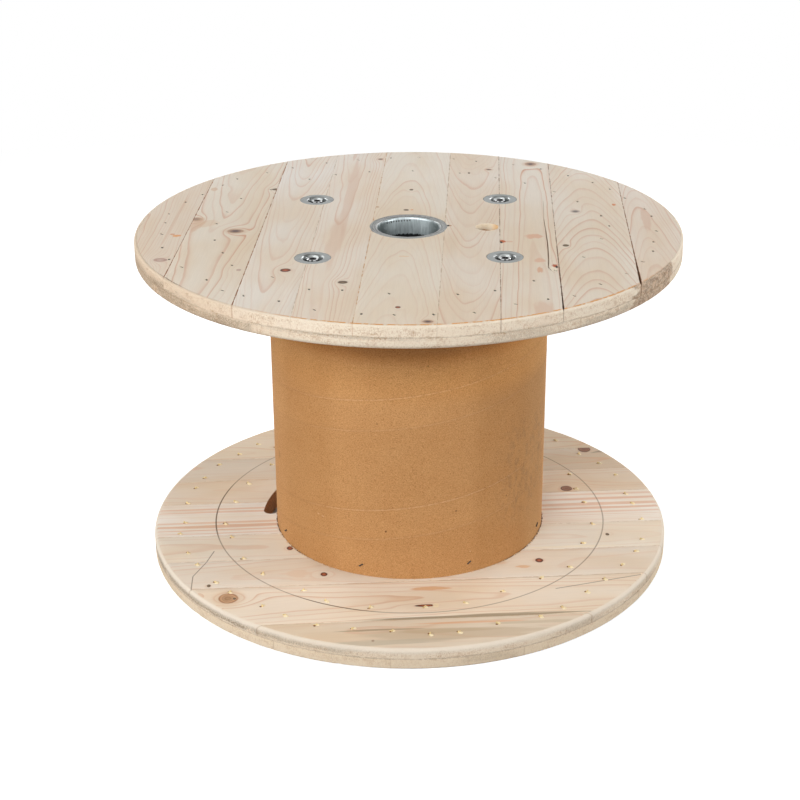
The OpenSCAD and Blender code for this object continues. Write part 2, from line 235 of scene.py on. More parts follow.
# knots: heart, the wood round it, a thin outline and its strength, the halo and its size, how softly they end
knotKinds = {
    "brown": ((104, 88, 84), (178, 146, 124), (168, 124, 92), 0.35, (210, 178, 150), 2.0, 0.4),
    "tan": ((176, 136, 100), (202, 160, 122), (150, 96, 58), 0.8, (216, 186, 154), 2.2, 0.1),
    "red": ((176, 100, 70), (116, 60, 42), (48, 26, 20), 0.95, (216, 184, 160), 1.5, 0.1),
    "ripe": ((132, 94, 74), (150, 108, 84), (84, 54, 40), 0.85, (208, 176, 148), 1.7, 0.15),
    "dark": ((126, 106, 82), (100, 80, 60), (60, 46, 36), 0.8, (204, 182, 156), 1.6, 0.25),
    "pale": ((204, 178, 162), (186, 152, 136), (180, 144, 128), 0.5, (214, 194, 178), 1.5, 0.2),
    "grey": ((128, 120, 114), (176, 160, 148), (196, 174, 158), 0.2, (212, 190, 174), 1.7, 0.6),
}

# each board, in mm: its rings (pith across and under the face, width, taper along it, strength of the lines),
# its tint, its knots (along, across, half length, half width, kind)
# and its stains (along, across, half length, half width, colour, strength)
boards = {
    "top_outer_board_1": ((-352, 30, 3.0, 0.03, 0.8), (224, 209, 191),
        [(-143, -301, 7, 8.2, "pale")],
        [(-49, -297, 5, 7, (222, 152, 84), 0.85), (-43, -303, 3, 4, (206, 128, 66), 0.7),
         (20, -309, 150, 3, (206, 168, 140), 0.4)]),
    "top_outer_board_2": ((-246, 62, 3.9, -0.03, 0.75), (226, 214, 197),
        [(-28, -223, 8, 10.5, "brown"), (19, -281, 7.5, 7, "brown"), (157, -192, 4, 5, "dark"),
         (-176, -199, 3, 3, "pale")],
        [(155, -276, 9, 6, (206, 168, 132), 0.6), (-5, -274, 30, 9, (210, 174, 144), 0.6),
         (2, -262, 16, 16, (214, 180, 146), 0.4), (30, -284, 6, 3, (214, 150, 88), 0.8)]),
    "top_outer_board_3": ((-158, 46, 2.7, -0.035, 0.66), (229, 219, 206),
        [(-175, -142, 5.8, 6.2, "red")], []),
    "top_outer_board_4": ((-92, 26, 3.1, -0.014, 0.75), (229, 217, 202),
        [(-215, -69, 4.8, 5.6, "dark"), (312, -55, 3.5, 4, "brown")],
        [(130, -86, 220, 9, (214, 182, 160), 0.5), (-60, -91, 120, 12, (214, 181, 157), 0.45)]),
    "top_outer_board_5": ((-6, 60, 3.2, 0.06, 0.42), (228, 216, 199),
        [(69, -6, 3, 3.4, "dark"), (161, -3, 3, 2.6, "dark"), (-296, 1, 3, 3, "red"),
         (-340, 37, 5, 6, "brown")],
        [(81, -44, 3, 4, (178, 122, 70), 0.7), (-119, 0, 2.4, 8, (222, 178, 124), 0.5),
         (70, -1.6, 2.5, 2.4, (214, 140, 80), 0.8)]),
    "top_outer_board_6": ((80, 46, 3.3, -0.08, 0.55), (227, 214, 198),
        [(263, 104, 3.4, 4.4, "brown"), (245, 76, 3, 1.6, "dark")],
        [(4, 54.5, 3, 2.6, (186, 136, 86), 0.8), (4, 52.2, 3.6, 2.4, (36, 30, 22), 1.0)]),
    "top_outer_board_7": ((164, 22, 5.2, 0.016, 0.95), (227, 215, 199),
        [(293, 165, 8, 8, "brown")],
        [(-36, 162, 10, 14, (217, 168, 138), 0.75), (-128, 168, 9, 9, (219, 176, 148), 0.8),
         (-163, 167, 12, 4.5, (214, 162, 130), 0.75), (-300, 170, 40, 16, (214, 178, 152), 0.55),
         (-58, 131, 3.5, 6, (214, 168, 138), 0.6), (-58, 121.5, 6.5, 5.5, (190, 96, 50), 0.95),
         (-61, 120.5, 4.5, 2.4, (30, 12, 8), 1.0), (-158, 184, 12, 4, (236, 222, 198), 0.8),
         (-148, 185.5, 7, 4, (178, 84, 44), 0.95), (-152, 187.5, 5, 2, (36, 18, 12), 1.0),
         # the pale line just right of the split is a painted highlight on its edge
         (-60, 180.6, 90, 1.3, (236, 224, 204), 0.7)]),
    "top_outer_board_8": ((234, 40, 5.2, 0.16, 0.95), (227, 215, 199),
        [(70, 220, 6, 5.5, "grey"), (-71, 202, 4, 3.8, "dark")],
        [(101, 271, 6, 3, (206, 130, 76), 0.9)]),
    "top_outer_board_9": ((308, 22, 4.6, 0.09, 0.85), (226, 212, 196),
        [], [(40, 312, 60, 7, (208, 170, 146), 0.5)]),
    "bottom_inner_board_3": ((160, 60, 3.8, 0.02, 0.6), (214, 199, 180),
        [(278, 186, 9, 10, "ripe")],
        [(306, 180, 22, 3, (96, 80, 62), 0.5)]),
    "bottom_inner_board_4": ((88, 52, 4.0, -0.02, 0.6), (221, 206, 187),
        [(231, 58, 8, 8, "ripe")], []),
    "bottom_inner_board_5": ((-2, 14, 4.4, 0.006, 0.9), (236, 229, 219),
        [], [(-250, 31, 150, 3.0, (222, 180, 150), 0.75), (-240, 22, 150, 3.2, (222, 180, 150), 0.7),
         (-250, -9, 160, 3.2, (222, 182, 152), 0.75), (-250, -20, 160, 5.5, (217, 174, 142), 0.8),
         (-250, -31, 150, 2.4, (222, 182, 152), 0.7), (-250, -40, 150, 2.2, (222, 184, 156), 0.6),
         (-262, 8, 60, 10, (230, 216, 194), 0.5), (280, 24, 150, 4, (218, 174, 146), 0.75),
         (270, 8, 150, 5, (220, 178, 148), 0.75), (280, -4, 150, 4, (216, 172, 142), 0.75),
         (300, -16, 140, 2.6, (220, 180, 152), 0.65), (300, 38, 120, 3, (220, 180, 152), 0.6)]),
    "bottom_inner_board_6": ((-84, 60, 4.0, 0.02, 0.55), (232, 223, 208),
        [(-168, -90, 4.2, 5, "red"), (266, -83, 2.4, 3.2, "dark")],
        [(-90, -112.5, 90, 3.4, (236, 222, 194), 0.9), (205, -113, 90, 3.4, (236, 224, 200), 0.8)]),
    "bottom_inner_board_7": ((-160, 70, 4.2, -0.03, 0.46), (228, 217, 202),
        [(-124, -164, 4.4, 4.8, "red"), (163, -148, 5, 5.4, "red"), (-274, -183, 2.4, 3.2, "dark")],
        [(140, -160, 12, 4, (214, 160, 108), 0.6), (90, -150, 40, 6, (218, 174, 130), 0.5),
         (-160, -160, 22, 10, (220, 180, 146), 0.35)]),
    "bottom_inner_board_8": ((-236, 60, 4.0, 0.02, 0.52), (235, 222, 204),
        [(-248, -217, 12, 12, "tan"), (-240, -218, 2, 2.5, "dark"), (4, -253, 14, 2.6, "red")],
        [(15, -212, 30, 6, (216, 160, 108), 0.7), (55, -281.8, 165, 5.6, (150, 133, 106), 0.85),
         (-90, -284.6, 80, 2.2, (156, 138, 110), 0.7), (16, -253, 5, 3, (240, 222, 186), 0.9)]),
    "bottom_inner_board_9": ((-310, 60, 4.4, -0.02, 0.52), (223, 208, 187),
        [(-68, -332, 1.8, 2.2, "red")],
        [(40, -322, 150, 17, (196, 176, 148), 0.65), (-60, -308, 62, 2.6, (150, 134, 106), 0.65),
         (20, -314, 80, 7, (190, 170, 140), 0.55), (60, -297, 80, 3, (224, 168, 124), 0.6),
         (150, -302, 90, 4, (190, 172, 142), 0.45), (-60, -336, 100, 7, (190, 178, 156), 0.7)]),
}

# how a board that lies out of sight from the front may be grown
unseen = {
    "top": (216, 201, 182), "bottom": (222, 206, 184), "shade": 4, "pithDepth": (16, 60), "ring": (3.4, 5.0),
    "taper": (0.015, 0.07), "lines": (0.5, 0.75), "reach": 250, "inset": 14, "halfWide": (3, 10),
    "halfLong": (3, 9), "kinds": ("tan", "red", "dark", "pale"), "counts": (1, 2, 2, 3),
}

# what shows of each seam in the top's outer layer: half of its gap at places along it, its stain and how
# strong; torn fibres close it at the rim
topSeams = {
    1: ([(-210, 0.03), (-204, 0.2), (-60, 0.16), (20, 0.22), (210, 0.05)], (158, 98, 56), 0.9),
    2: ([(-300, 0.03), (-293, 0.24), (-100, 0.14), (60, 0.1), (300, 0.04)], (158, 100, 54), 0.9),
    3: ([(-330, 0.0), (330, 0.0)], (180, 152, 122), 0.6),
    4: ([(-350, 0.0), (350, 0.02)], (190, 134, 74), 0.85),
    5: ([(-350, 0.0), (350, 0.02)], (176, 146, 112), 0.65),
    6: ([(-334, 0.0), (-326, 0.1), (-150, 0.06), (334, 0.02)], (146, 112, 86), 0.85),
    7: ([(-300, 0.06), (-294, 0.85), (-250, 0.5), (-170, 0.3), (-90, 0.18), (-20, 0.1), (80, 0.04),
         (300, 0.02)],
        (132, 96, 72), 0.85),
    8: ([(-211, 0.1), (-205, 1.3), (-170, 1.0), (-120, 0.45), (-70, 0.2), (0, 0.12), (120, 0.1),
         (211, 0.04)],
        (150, 104, 70), 0.9),
}
plainSeam = ([(-355, 0.0), (355, 0.0)], (176, 138, 102), 0.55)
plainClosing = 0.3  # mm on either side

# a split in one board: along, across, half width
splits = {"top_outer_board_7": [(115, 178.7, 0.06), (34, 177.2, 0.25), (-13, 178.3, 0.6), (-65, 179.2, 0.75),
                                (-121, 178.6, 0.8), (-155, 177.6, 0.6), (-165, 180.7, 0.5), (-172, 184, 0.2)]}

# lines on the lower flange, in the drum's own frame: from, to
pencilLines = [((-258, -121), (-264, -152)), ((-264, -152), (-276, -190)), ((-276, -190), (-273, -223)),
               ((198, -202), (311, -161))]

# dirt on the rims: middle angle, half width in degrees, height, half height, strength
rimDirt = {
    "top": [(-160, 16, 434, 11, 0.6), (-141, 8, 431, 9, 0.65), (-127, 9, 428, 7, 0.75),
            (-66, 8, 432, 7, 0.35), (-46, 9, 428, 6, 0.55), (-100, 14, 435.5, 2.6, 0.4),
            (40, 20, 436, 10, 0.4), (120, 26, 430, 9, 0.45), (175, 12, 440, 8, 0.4)],
    "bottom": [(-140, 24, 20.5, 5, 0.85), (-112, 16, 21, 4.4, 0.55), (-158, 10, 18, 8, 0.4),
               (-72, 6, 10, 5, 0.45), (-50, 7, 20, 6, 0.4), (-27, 7, 19, 7, 0.35), (10, 16, 12, 8, 0.4),
               (80, 24, 16, 8, 0.45), (150, 12, 20, 8, 0.4)],
}

# noises in a board: mm along and across the grain, own shift, detail and roughness
grainNoises = {
    "sway": (300, 85, 0, 1.5), "bow": (150, 46, 7), "ripple": (34, 13, 13, 1.0), "patch": (190, 50, 23, 1.5),
    "fibre": (26, 0.8, 31, 3.0, 0.6), "streak": (120, 4.5, 37), "cloud": (160, 60, 43),
}
# how far they push the rings, in mm, and the spacing in rings
strays = {"sway": 11, "bow": 6, "ripple": 0.7, "spacing": 1.6}

# noises on its rim: how many to the mm around and up, own shift, detail and roughness
rimNoises = {
    "speckle": (0.85, 0.6, 51, 3.0, 0.7), "torn": (0.22, 1.3, 57, 4.0, 0.72),
    "hatch": (0.75, 0.28, 71, 3.0, 0.65), "blotch": (0.035, 0.1, 63, 3.0, 0.6),
    "spread": (0.12, 0.17, 83, 2.0, 0.6),
}

# tears in a rim: noise, from, to, share in patches, share all over, colour
# the pale ones, whose noise runs downwards, cross its smooth edge
rimTears = [("spread", 0.5, 0.68, 0.5, 0.0, (190, 156, 122)),
            ("torn", 0.5, 0.66, 0.55, 0.15, (202, 168, 132)),
            ("torn", 0.47, 0.34, 0.0, 0.55, (246, 236, 218)),
            ("hatch", 0.52, 0.66, 0.4, 0.25, (196, 158, 122)),
            ("speckle", 0.56, 0.7, 0.55, 0.2, (158, 120, 88))]
# what differs between the flanges: late wood, bare rim, end of the rounded edge, line of the layers
flanges = {"top": {"late": (205, 158, 130), "bare": (247, 233, 211), "edge": (451.0, 447.5), "ply": 436.5},
           "bottom": {"late": (211, 164, 128), "bare": (244, 227, 203), "edge": (27.5, 22.0), "ply": 14.5}}


def openWire(finish, places, along):
    # half of a seam's gap at a place along it, as a wire
    value, slope = places[0][1], 0.0
    for (a0, g0), (a1, g1) in zip(places, places[1:]):
        steeper = (g1 - g0) / (a1 - a0)
        value = finish.larger(along - a0, 0.0) * (steeper - slope) + value
        slope = steeper
    return value - finish.larger(along - places[-1][0], 0.0) * slope


class BoardFinish(Finish):
    # the wood of one board, in mm along its grain, across it and below its open face
    def __init__(self, name, layerName, number):
        super().__init__(name + "_wood")
        layer = layers[layerName]
        self.layerName, self.number = layerName, number
        self.side = layerName.split("_")[0]
        self.flange = flanges[self.side]
        self.seed = rng.uniform(1, 90)
        self.low, self.high = drum["seams"][number - 1:number + 1]
        if layerName == "bottom_inner":
            self.low, self.high = -self.high, -self.low
        self.rings, self.tint, self.knots, self.stains = boards.get(name) or self.unseenBoard()
        place = self.node("TexCoord", out="Object")
        self.x, self.y, self.z = self.parts(self.inMillimetres(place))
        own = (self.x, self.y)
        if layer["turned"]:
            own = self.parts(self.inMillimetres(place, -drum["turn"]), ("X", "Y"))
        self.along, self.across = (own[1], own[0]) if layer["alongY"] else own
        self.depth = self.z * layer["down"] - layer["face"] * layer["down"]
        self.fromAxis = self.length(self.x, self.y)
        self.angle = self.degrees(self.y, self.x)
        self.rim = self.fromAxis.step(350.6, 352.2)
        self.bendGrain()
        self.field = self.point(self.along, self.bent, self.depth)
        solid = self.point(self.x, self.y, self.z)
        self.grain = {key: self.noise(self.field, (1 / long, 1 / wide, 1 / wide), self.seed + shift, *more)
                      for key, (long, wide, shift, *more) in grainNoises.items()}
        self.tears = {key: self.noise(solid, (around, around, up), self.seed + shift, *more)
                      for key, (around, up, shift, *more) in rimNoises.items()}

    def unseenBoard(self):
        shade, reach, inset = rng.uniform(-unseen["shade"], unseen["shade"]), unseen["reach"], unseen["inset"]
        rings = (rng.uniform(self.low, self.high), rng.uniform(*unseen["pithDepth"]),
                 rng.uniform(*unseen["ring"]), rng.choice((-1, 1)) * rng.uniform(*unseen["taper"]),
                 rng.uniform(*unseen["lines"]))
        knots = [(rng.uniform(-reach, reach), rng.uniform(self.low + inset, self.high - inset),
                  rng.uniform(*unseen["halfLong"]), rng.uniform(*unseen["halfWide"]),
                  rng.choice(unseen["kinds"])) for k in range(rng.choice(unseen["counts"]))]
        return rings, tuple(c + shade for c in unseen[self.side]), knots, []

    def bendGrain(self):
        # round every knot the grain bends, swells into rings and closes up
        self.bent, self.swell, self.close = self.across, 0.0, 0.0
        for knotU, knotV, halfLong, halfWide, kind in self.knots:
            du = (self.along - knotU) * (1 / (2.6 * halfLong + 6))
            dv = (self.across - knotV) * (1 / (1.9 * halfWide + 2))
            nearness = 1 / (1 + du * du + dv * dv)
            self.bent = self.bent - (self.across - knotV) * nearness * 0.75
            self.swell = nearness * nearness * (min(halfLong, halfWide) * 1.3) + self.swell
            self.close = nearness * nearness * min(1, halfWide / 8) + self.close

    def growRings(self):
        # rings round the pith, each a thin late-wood line with a soft flank on its inner side
        pithV, pithDepth, ring, taper, lines = self.rings
        sway, bow, ripple = [(self.grain[key] - 0.5) * strays[key] for key in ("sway", "bow", "ripple")]
        radius = self.length(self.bent - pithV + sway, self.depth + pithDepth)
        phase = (radius + self.along * taper + bow + ripple + self.swell) / ring + 40
        uneven = self.node("TexNoise", {"noise_dimensions": "1D"},
                           {"W": phase * 0.31 + self.seed, "Scale": 1.0, "Detail": 0.0})
        phase = phase + (uneven - 0.5) * strays["spacing"]
        saw = self.maths("FRACT", phase)
        yearly = self.node("TexWhiteNoise", {"noise_dimensions": "1D"},
                           {"W": self.maths("FLOOR", phase) + math.floor(self.seed)})
        self.late = saw.step(0.5, 0.9) * saw.step(1.0, 0.95)
        line = saw.step(0.74, 0.9) * saw.step(1.0, 0.93)
        strength = (yearly * yearly * 0.85 + 0.22) * (0.5 + self.grain["patch"]) * lines
        self.lineLevel = (self.late * 0.35 + line * 0.65) * strength * (1 + self.close * 0.8)

    def paintKnot(self, knotU, knotV, halfLong, halfWide, kind):
        heart, body, edge, edgeLevel, halo, haloSize, soft = knotKinds[kind]
        ragged = self.noise(self.field, (2 / (halfLong + halfWide),) * 3, self.seed + knotU, 3.0) - 0.5
        away = self.oval(self.along - knotU, self.across - knotV, halfLong, halfWide) + ragged * 0.45
        self.paint(away.step(haloSize, 0.9) * 0.6, halo)
        ringed = self.maths("SINE", away * 19) * 0.1 + 0.94
        inside = self.blend(away.step(0.15, 0.85), heart, body)
        inside = self.blend(1.0, inside, ringed + ragged * 0.4, "MULTIPLY")
        self.paint(away.step(1.02 + soft * 0.5, 0.96 - soft * 0.7), inside)
        self.paint(away.step(0.74, 0.92) * away.step(1.12, 0.96) * ragged.step(-0.24, 0.06) * edgeLevel, edge)

    def paintStain(self, stainU, stainV, halfLong, halfWide, shade, strength):
        scale = (1.6 / (halfLong + 6), 1.6 / halfWide, 1.6 / halfWide)
        ragged = self.noise(self.field, scale, self.seed + stainU, 3.0) - 0.5
        away = self.oval(self.along - stainU, self.bent - stainV, halfLong, halfWide) + ragged * 1.1
        self.paint(away.step(1.0, 0.6) * strength, shade)

    def paintFace(self):
        # broad colour, late wood and fine fibres, then what has marked the face
        grain = self.grain
        warm = tuple(c - d for c, d in zip(self.tint, (4, 11, 19)))
        self.colour = self.blend(grain["cloud"].step(0.3, 0.75), self.tint, warm)
        self.paint(self.maths("MINIMUM", self.lineLevel, 0.95), self.flange["late"])
        fibres = 0.91 + grain["fibre"] * 0.12 + grain["streak"] * 0.07
        self.colour = self.blend(1.0, self.colour, fibres, "MULTIPLY")
        for knot in self.knots:
            self.paintKnot(*knot)
        for stain in self.stains:
            self.paintStain(*stain)
        if self.layerName == "top_outer":  # painted sheen: lighter and bluer towards the back
            self.dim(self.y.step(-20, 260), (1.07, 1.1, 1.15))

    def paintRim(self):
        # torn end grain, paler and yellower than the face, and smooth only at its rounded edge
        face = self.colour
        speckle, torn, hatch, blotch, spread = [self.tears[key] for key in rimNoises]
        patchy = blotch.step(0.36, 0.66)
        rough = self.z.step(*self.flange["edge"])
        self.paint(0.7, self.flange["bare"])
        for key, low, high, patched, even, shade in rimTears:
            level = self.tears[key].step(low, high) * (patchy * patched + even)
            self.paint(level * rough if high > low else level, shade)
        for middle, half, height, halfHeight, strength in rimDirt[self.side]:
            reach = self.larger(abs(self.angle - middle) / half, abs(self.z - height) / halfHeight)
            dirt = (reach + (torn - 0.5) * 1.4 + (blotch - 0.5) * 2.2).step(1.15, 0.4)
            self.paint(dirt * speckle.step(0.25, 0.66) * strength * rough, (136, 114, 90))
        if self.side == "top":  # painted shade on the left, where it is turned from the light, and torn out brown on the right
            self.dim(self.angle.step(-102, -132) * 0.9, (0.84, 0.77, 0.71))
            ripped = (self.angle + (blotch - 0.5) * 9).within(-38.5, -22, 0.7)
            ripped = ripped * (speckle.step(0.4, 0.62) * 0.5 + 0.4)
            self.paint(ripped, self.blend(spread.step(0.35, 0.65), (184, 150, 118), (118, 86, 62)))
        else:  # paler along its upper, rounded edge
            self.paint(self.z.step(19, 24) * 0.5, (234, 224, 210))
            self.paint(self.z.step(15.0, 14.0) * 0.35, (242, 220, 188))
        atPly = abs(self.z - self.flange["ply"] + (hatch - 0.5) * 2.4).step(1.5, 0.2) * torn.step(0.36, 0.56)
        self.paint(atPly * (patchy * 0.4 + 0.25), (150, 118, 88))
        self.colour = self.blend(self.rim, face, self.colour)

    def paintEdge(self):
        # the router's burn where the rim meets the face, and a nick
        burn = (self.fromAxis + self.tears["hatch"] * 1.2).within(350.0, 353.0, 0.5)
        burn = burn * self.angle.within(-112, -34, 14) * self.tears["spread"].step(0.34, 0.54)
        self.paint(burn, (222, 156, 82))
        nick = (self.fromAxis + (self.tears["torn"] - 0.5) * 7).within(350.0, 351.3, 0.4)
        self.paint(nick * self.angle.within(-145.5, -138, 2) * 0.8, (140, 108, 80))

    def paintDriveHole(self):
        # its wall is fresh wood, painted paler than the face as if lit, and painted shade deep down at its
        # near side
        hole = drum["driveHole"]
        pinX = self.x - hole["x"]
        freshAndLit = self.blend(pinX.step(4, 13), (240, 226, 202), (230, 190, 140))
        freshAndLit = self.blend(self.tears["torn"].step(0.5, 0.7) * 0.4, freshAndLit, (222, 196, 158))
        deep = (self.depth - abs(pinX + 4) * 0.16).step(7.4, 8.6) * 0.9
        inHole = self.length(pinX, self.y).step(hole["radius"] + 0.3, hole["radius"] + 0.08)
        self.paint(inHole, self.blend(deep, freshAndLit, (176, 124, 78)))

    def paintCableSlot(self):
        slot = drum["cableSlot"]
        inSlot = self.fromAxis.within(slot["from"], slot["to"], 0.6) * self.depth.step(0.5, 2.0)
        inSlot = inSlot * abs(self.angle).step(slot["beyond"] - 1, slot["beyond"] + 1)
        # its walls are painted a darker brown: partly the sawn wood, partly painted shade inside the slot
        sawn = self.blend(self.tears["torn"].step(0.35, 0.65), (150, 100, 64), (222, 166, 116))
        self.paint(inSlot * 0.85, sawn)

    def paintLines(self):
        # the groove round the tube is sawn ragged, and its torn gap is painted dark as its shade, most at the
        # sides
        angle, fromAxis, groove, scribed = self.angle, self.fromAxis, drum["groove"], drum["scribed"]
        tatter = self.noise(self.point(angle, fromAxis * 0.3), (0.55, 1, 1), 5.0, 3.0, 0.75)
        sideways = abs(self.maths("SINE", (angle + 92) * (math.pi / 180)))
        beside = 0.35 + 0.65 * sideways.step(0.45, 0.8)
        ragged = (fromAxis - tatter * 6.4 * beside).step(groove + 0.5, groove - 0.5)
        self.paint(ragged * tatter.step(0.28, 0.5) * beside * (1 - self.rim), (84, 54, 36))
        # the scribed circle is heavier in two stretches
        heavy = angle.within(-118, -98, 5) + abs(angle).step(158, 170)
        circle = abs(fromAxis - scribed["radius"]).step(scribed["half"] + 0.4, scribed["half"] - 0.4)
        self.paint(circle * (0.5 + self.grain["fibre"] * 0.3 + heavy * 0.5) * 0.85, (112, 90, 66))
        for (x0, y0), (x1, y1) in pencilLines:
            long = math.hypot(x1 - x0, y1 - y0)
            wayX, wayY = (x1 - x0) / long, (y1 - y0) / long
            run = (self.x - x0) * wayX + (self.y - y0) * wayY
            off = abs((self.x - x0) * wayY - (self.y - y0) * wayX)
            self.paint(off.step(1.0, 0.5) * run.within(0, long, 1.0) * 0.7, (120, 104, 88))

    def paintSeams(self):
        # what the seams have taken up, down over the rim as well
        for seamNumber, edge, way in ((self.number - 1, self.low, 1), (self.number, self.high, -1)):
            if abs(edge) < drum["radius"]:
                places, stain, strength = topSeams[seamNumber] if self.layerName == "top_outer" else plainSeam
                fromEdge = (self.across - edge) * way - openWire(self, places, self.along)
                broken = self.noise(self.point(self.along, edge), (1 / 19, 1, 1), 3.0, 3.0, 0.75)
                width = broken.step(0.42, 0.6) * 0.75 + 0.12 + self.rim * 0.4
                self.paint((fromEdge / width).step(1.0, 0.4) * strength * (1 - self.rim * 0.6), stain)

    def finished(self):
        self.growRings()
        self.paintFace()
        self.paintRim()
        if self.layerName == "top_outer":
            self.paintEdge()
        if self.side == "top":
            self.paintDriveHole()
        else:
            self.paintCableSlot()
        if self.layerName == "bottom_inner":
            self.paintLines()
        self.paintSeams()
        torn = self.rim * (self.tears["speckle"] + self.tears["torn"] + self.tears["hatch"]) * 1.5
        height = self.grain["fibre"] * 0.5 - self.late * 0.2 + torn
        rough = 0.62 + self.rim * 0.16 - self.lineLevel * 0.08
        return self.surface(rough, 0.0, height, 0.0004, 0.6, IOR=1.45, Specular_IOR_Level=0.3)


def openForEdit(piece):
    bpy.ops.object.select_all(action="DESELECT")
    piece.select_set(True)
    bpy.context.view_layer.objects.active = piece
    bpy.ops.object.mode_set(mode="EDIT")


def closeEdit():
    bpy.ops.object.mode_set(mode="OBJECT")
    bpy.ops.object.select_all(action="DESELECT")


def applyModifier(piece, kind, **settings):
    bpy.context.view_layer.objects.active = piece
    added = piece.modifiers.new(kind.lower(), kind)
    for key, value in settings.items():
        setattr(added, key, value)
    bpy.ops.object.modifier_apply(modifier=added.name)


def takeUp(pieces):
    bpy.ops.object.select_all(action="DESELECT")
    for piece in pieces:
        piece.select_set(True)
    bpy.context.view_layer.objects.active = pieces[0]


def joined(pieces, name):
    takeUp(pieces)
    bpy.ops.object.join()
    pieces[0].name = name
    pieces[0].select_set(False)
    return pieces[0]


def settle(piece):
    # puts the place, the turn and the size into the mesh
    takeUp([piece])
    bpy.ops.object.transform_apply(location=True, rotation=True, scale=True)
    piece.select_set(False)
    return piece


def cutAway(piece, cutter):
    applyModifier(piece, "BOOLEAN", operation="DIFFERENCE", solver="EXACT", object=cutter)
    bpy.data.objects.remove(cutter)


def smooth(piece, degrees):
    takeUp([piece])
    bpy.ops.object.shade_smooth_by_angle(angle=math.radians(degrees))
    piece.select_set(False)


def copyOf(node, name):
    piece = nodes[node].copy()
    piece.data = nodes[node].data.copy()
    for key in list(piece.keys()):
        del piece[key]
    piece.name = name
    piece.parent = None
    piece.matrix_world = Matrix.Identity(4)
    bpy.context.collection.objects.link(piece)
    openForEdit(piece)
    bpy.ops.mesh.select_all(action="SELECT")
    bpy.ops.mesh.remove_doubles(threshold=0.000002)
    bpy.ops.mesh.customdata_custom_splitnormals_clear()
    closeEdit()
    return piece


def dress(piece, material, slotName, *replaced):
    piece.data.materials.clear()
    piece.data.materials.append(material)
    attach(piece, "root")
    if replaced:
        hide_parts(*replaced)


# boards: the long edges that meet at a seam are eased, and the seams closed to what shows of them
boardEdge = {"width": 0.00012, "segments": 2, "near": 0.0025, "outermost": 0.351, "flat": 0.99, "soft": 32}
splitLook = {"overlap": 0.4, "deep": 6}


def closing(layerName, seamNumber, y):
    # how far a board's side moves towards the seam, in mm
    if layerName != "top_outer":
        return plainClosing
    cut = drum["cut"]
    along = min(max(y * 1000, -cut), cut)
    front, back = drum["gapFront"][seamNumber], drum["gapBack"][seamNumber]
    half = drum["seamGap"] + (front * (cut - along) + back * (cut + along)) / (4 * cut)
    places = topSeams[seamNumber][0]
    for (a0, g0), (a1, g1) in zip(places, places[1:]):
        if a0 <= along <= a1:
            return half - g0 - (g1 - g0) * (along - a0) / (a1 - a0)
    return half - (places[0][1] if along < places[0][0] else places[-1][1])


def easeSeams(piece, layerName, number):
    layer = layers[layerName]
    turn = Matrix.Rotation(-drum["turn"] if layer["turned"] else 0, 3, "Z")
    side = Vector((1, 0, 0) if layer["alongY"] else (0, 1, 0))
    shape = bmesh.new()
    shape.from_mesh(piece.data)
    weight = shape.edges.layers.float.new("bevel_weight_edge")
    if layerName == "top_outer":
        opens = [topSeams[seam][0] for seam in (number - 1, number) if seam in topSeams]
        for place in sorted({places[0] for run in opens for places in run}):
            bmesh.ops.bisect_plane(shape, geom=shape.verts[:] + shape.edges[:] + shape.faces[:],
                                   dist=0.000001, plane_co=(0, place / 1000, 0), plane_no=(0, 1, 0))
    where = [(turn @ v.co).dot(side) for v in shape.verts]
    near, flat = boardEdge["near"], boardEdge["flat"]
    seams = [(number - 1, min(where), -1), (number, max(where), 1)]
    seams = [seam for seam in seams if abs(seam[1]) < boardEdge["outermost"]]
    for edge in shape.edges:
        if len(edge.link_faces) != 2:
            continue
        ups = [abs(f.normal.z) > flat for f in edge.link_faces]
        sides = [abs((turn @ f.normal).dot(side)) > flat for f in edge.link_faces]
        if not ((ups[0] and sides[1]) or (ups[1] and sides[0])):
            continue
        places = [(turn @ v.co).dot(side) for v in edge.verts]
        if any(all(abs(place - at) < near for place in places) for n, at, way in seams):
            edge[weight] = 1.0
    outward = turn.inverted() @ side
    for vert, place in zip(shape.verts, where):
        for seamNumber, at, way in seams:
            if abs(place - at) < near:
                vert.co += outward * (way * closing(layerName, seamNumber, vert.co.y) / 1000)
    shape.to_mesh(piece.data)
    shape.free()
    applyModifier(piece, "BEVEL", limit_method="WEIGHT", width=boardEdge["width"],
                  segments=boardEdge["segments"], use_clamp_overlap=True)


def split(board, run, face):
    # opens along its run, one thin cut for every stretch
    for (a0, c0, w0), (a1, c1, w1) in zip(run, run[1:]):
        bpy.ops.mesh.primitive_cube_add(
            size=0.001, location=((c0 + c1) / 2000, (a0 + a1) / 2000, face / 1000),
            rotation=(0, 0, math.atan2(a1 - a0, c1 - c0)),
            scale=(math.hypot(a1 - a0, c1 - c0) + splitLook["overlap"], w0 + w1, splitLook["deep"]))
        cutAway(board, settle(bpy.context.object))


for layerName, layer in layers.items():
    for number in range(1, 10):
        node = layerName + "_board_" + str(number)
        board = copyOf(node, node.replace("board", "plank"))
        if node in splits:
            split(board, splits[node], layer["face"])
        easeSeams(board, layerName, number)
        smooth(board, boardEdge["soft"])
        dress(board, BoardFinish(node, layerName, number).finished(), layer["slot"], node)
    print("boards of", layerName)

# barrel, in metres: the winding's open seam, and the ridge over the edge of the winding below it
barrel = {
    "radius": 0.185, "wall": 0.008, "low": 0.022, "high": 0.429, "pitch": 0.1552, "start": -0.1395,
    "steps": 144, "turns": 4, "seam": [(0, 0), (-0.00025, 0.0002), (-0.00025, 0.0006), (0, 0.0009)],
    "ridge": {"at": 0.113, "rise": 0.00016, "before": 0.003, "after": 0.0008},
    "seamLevel": 0.42, "ridgeLevel": 0.2,
}
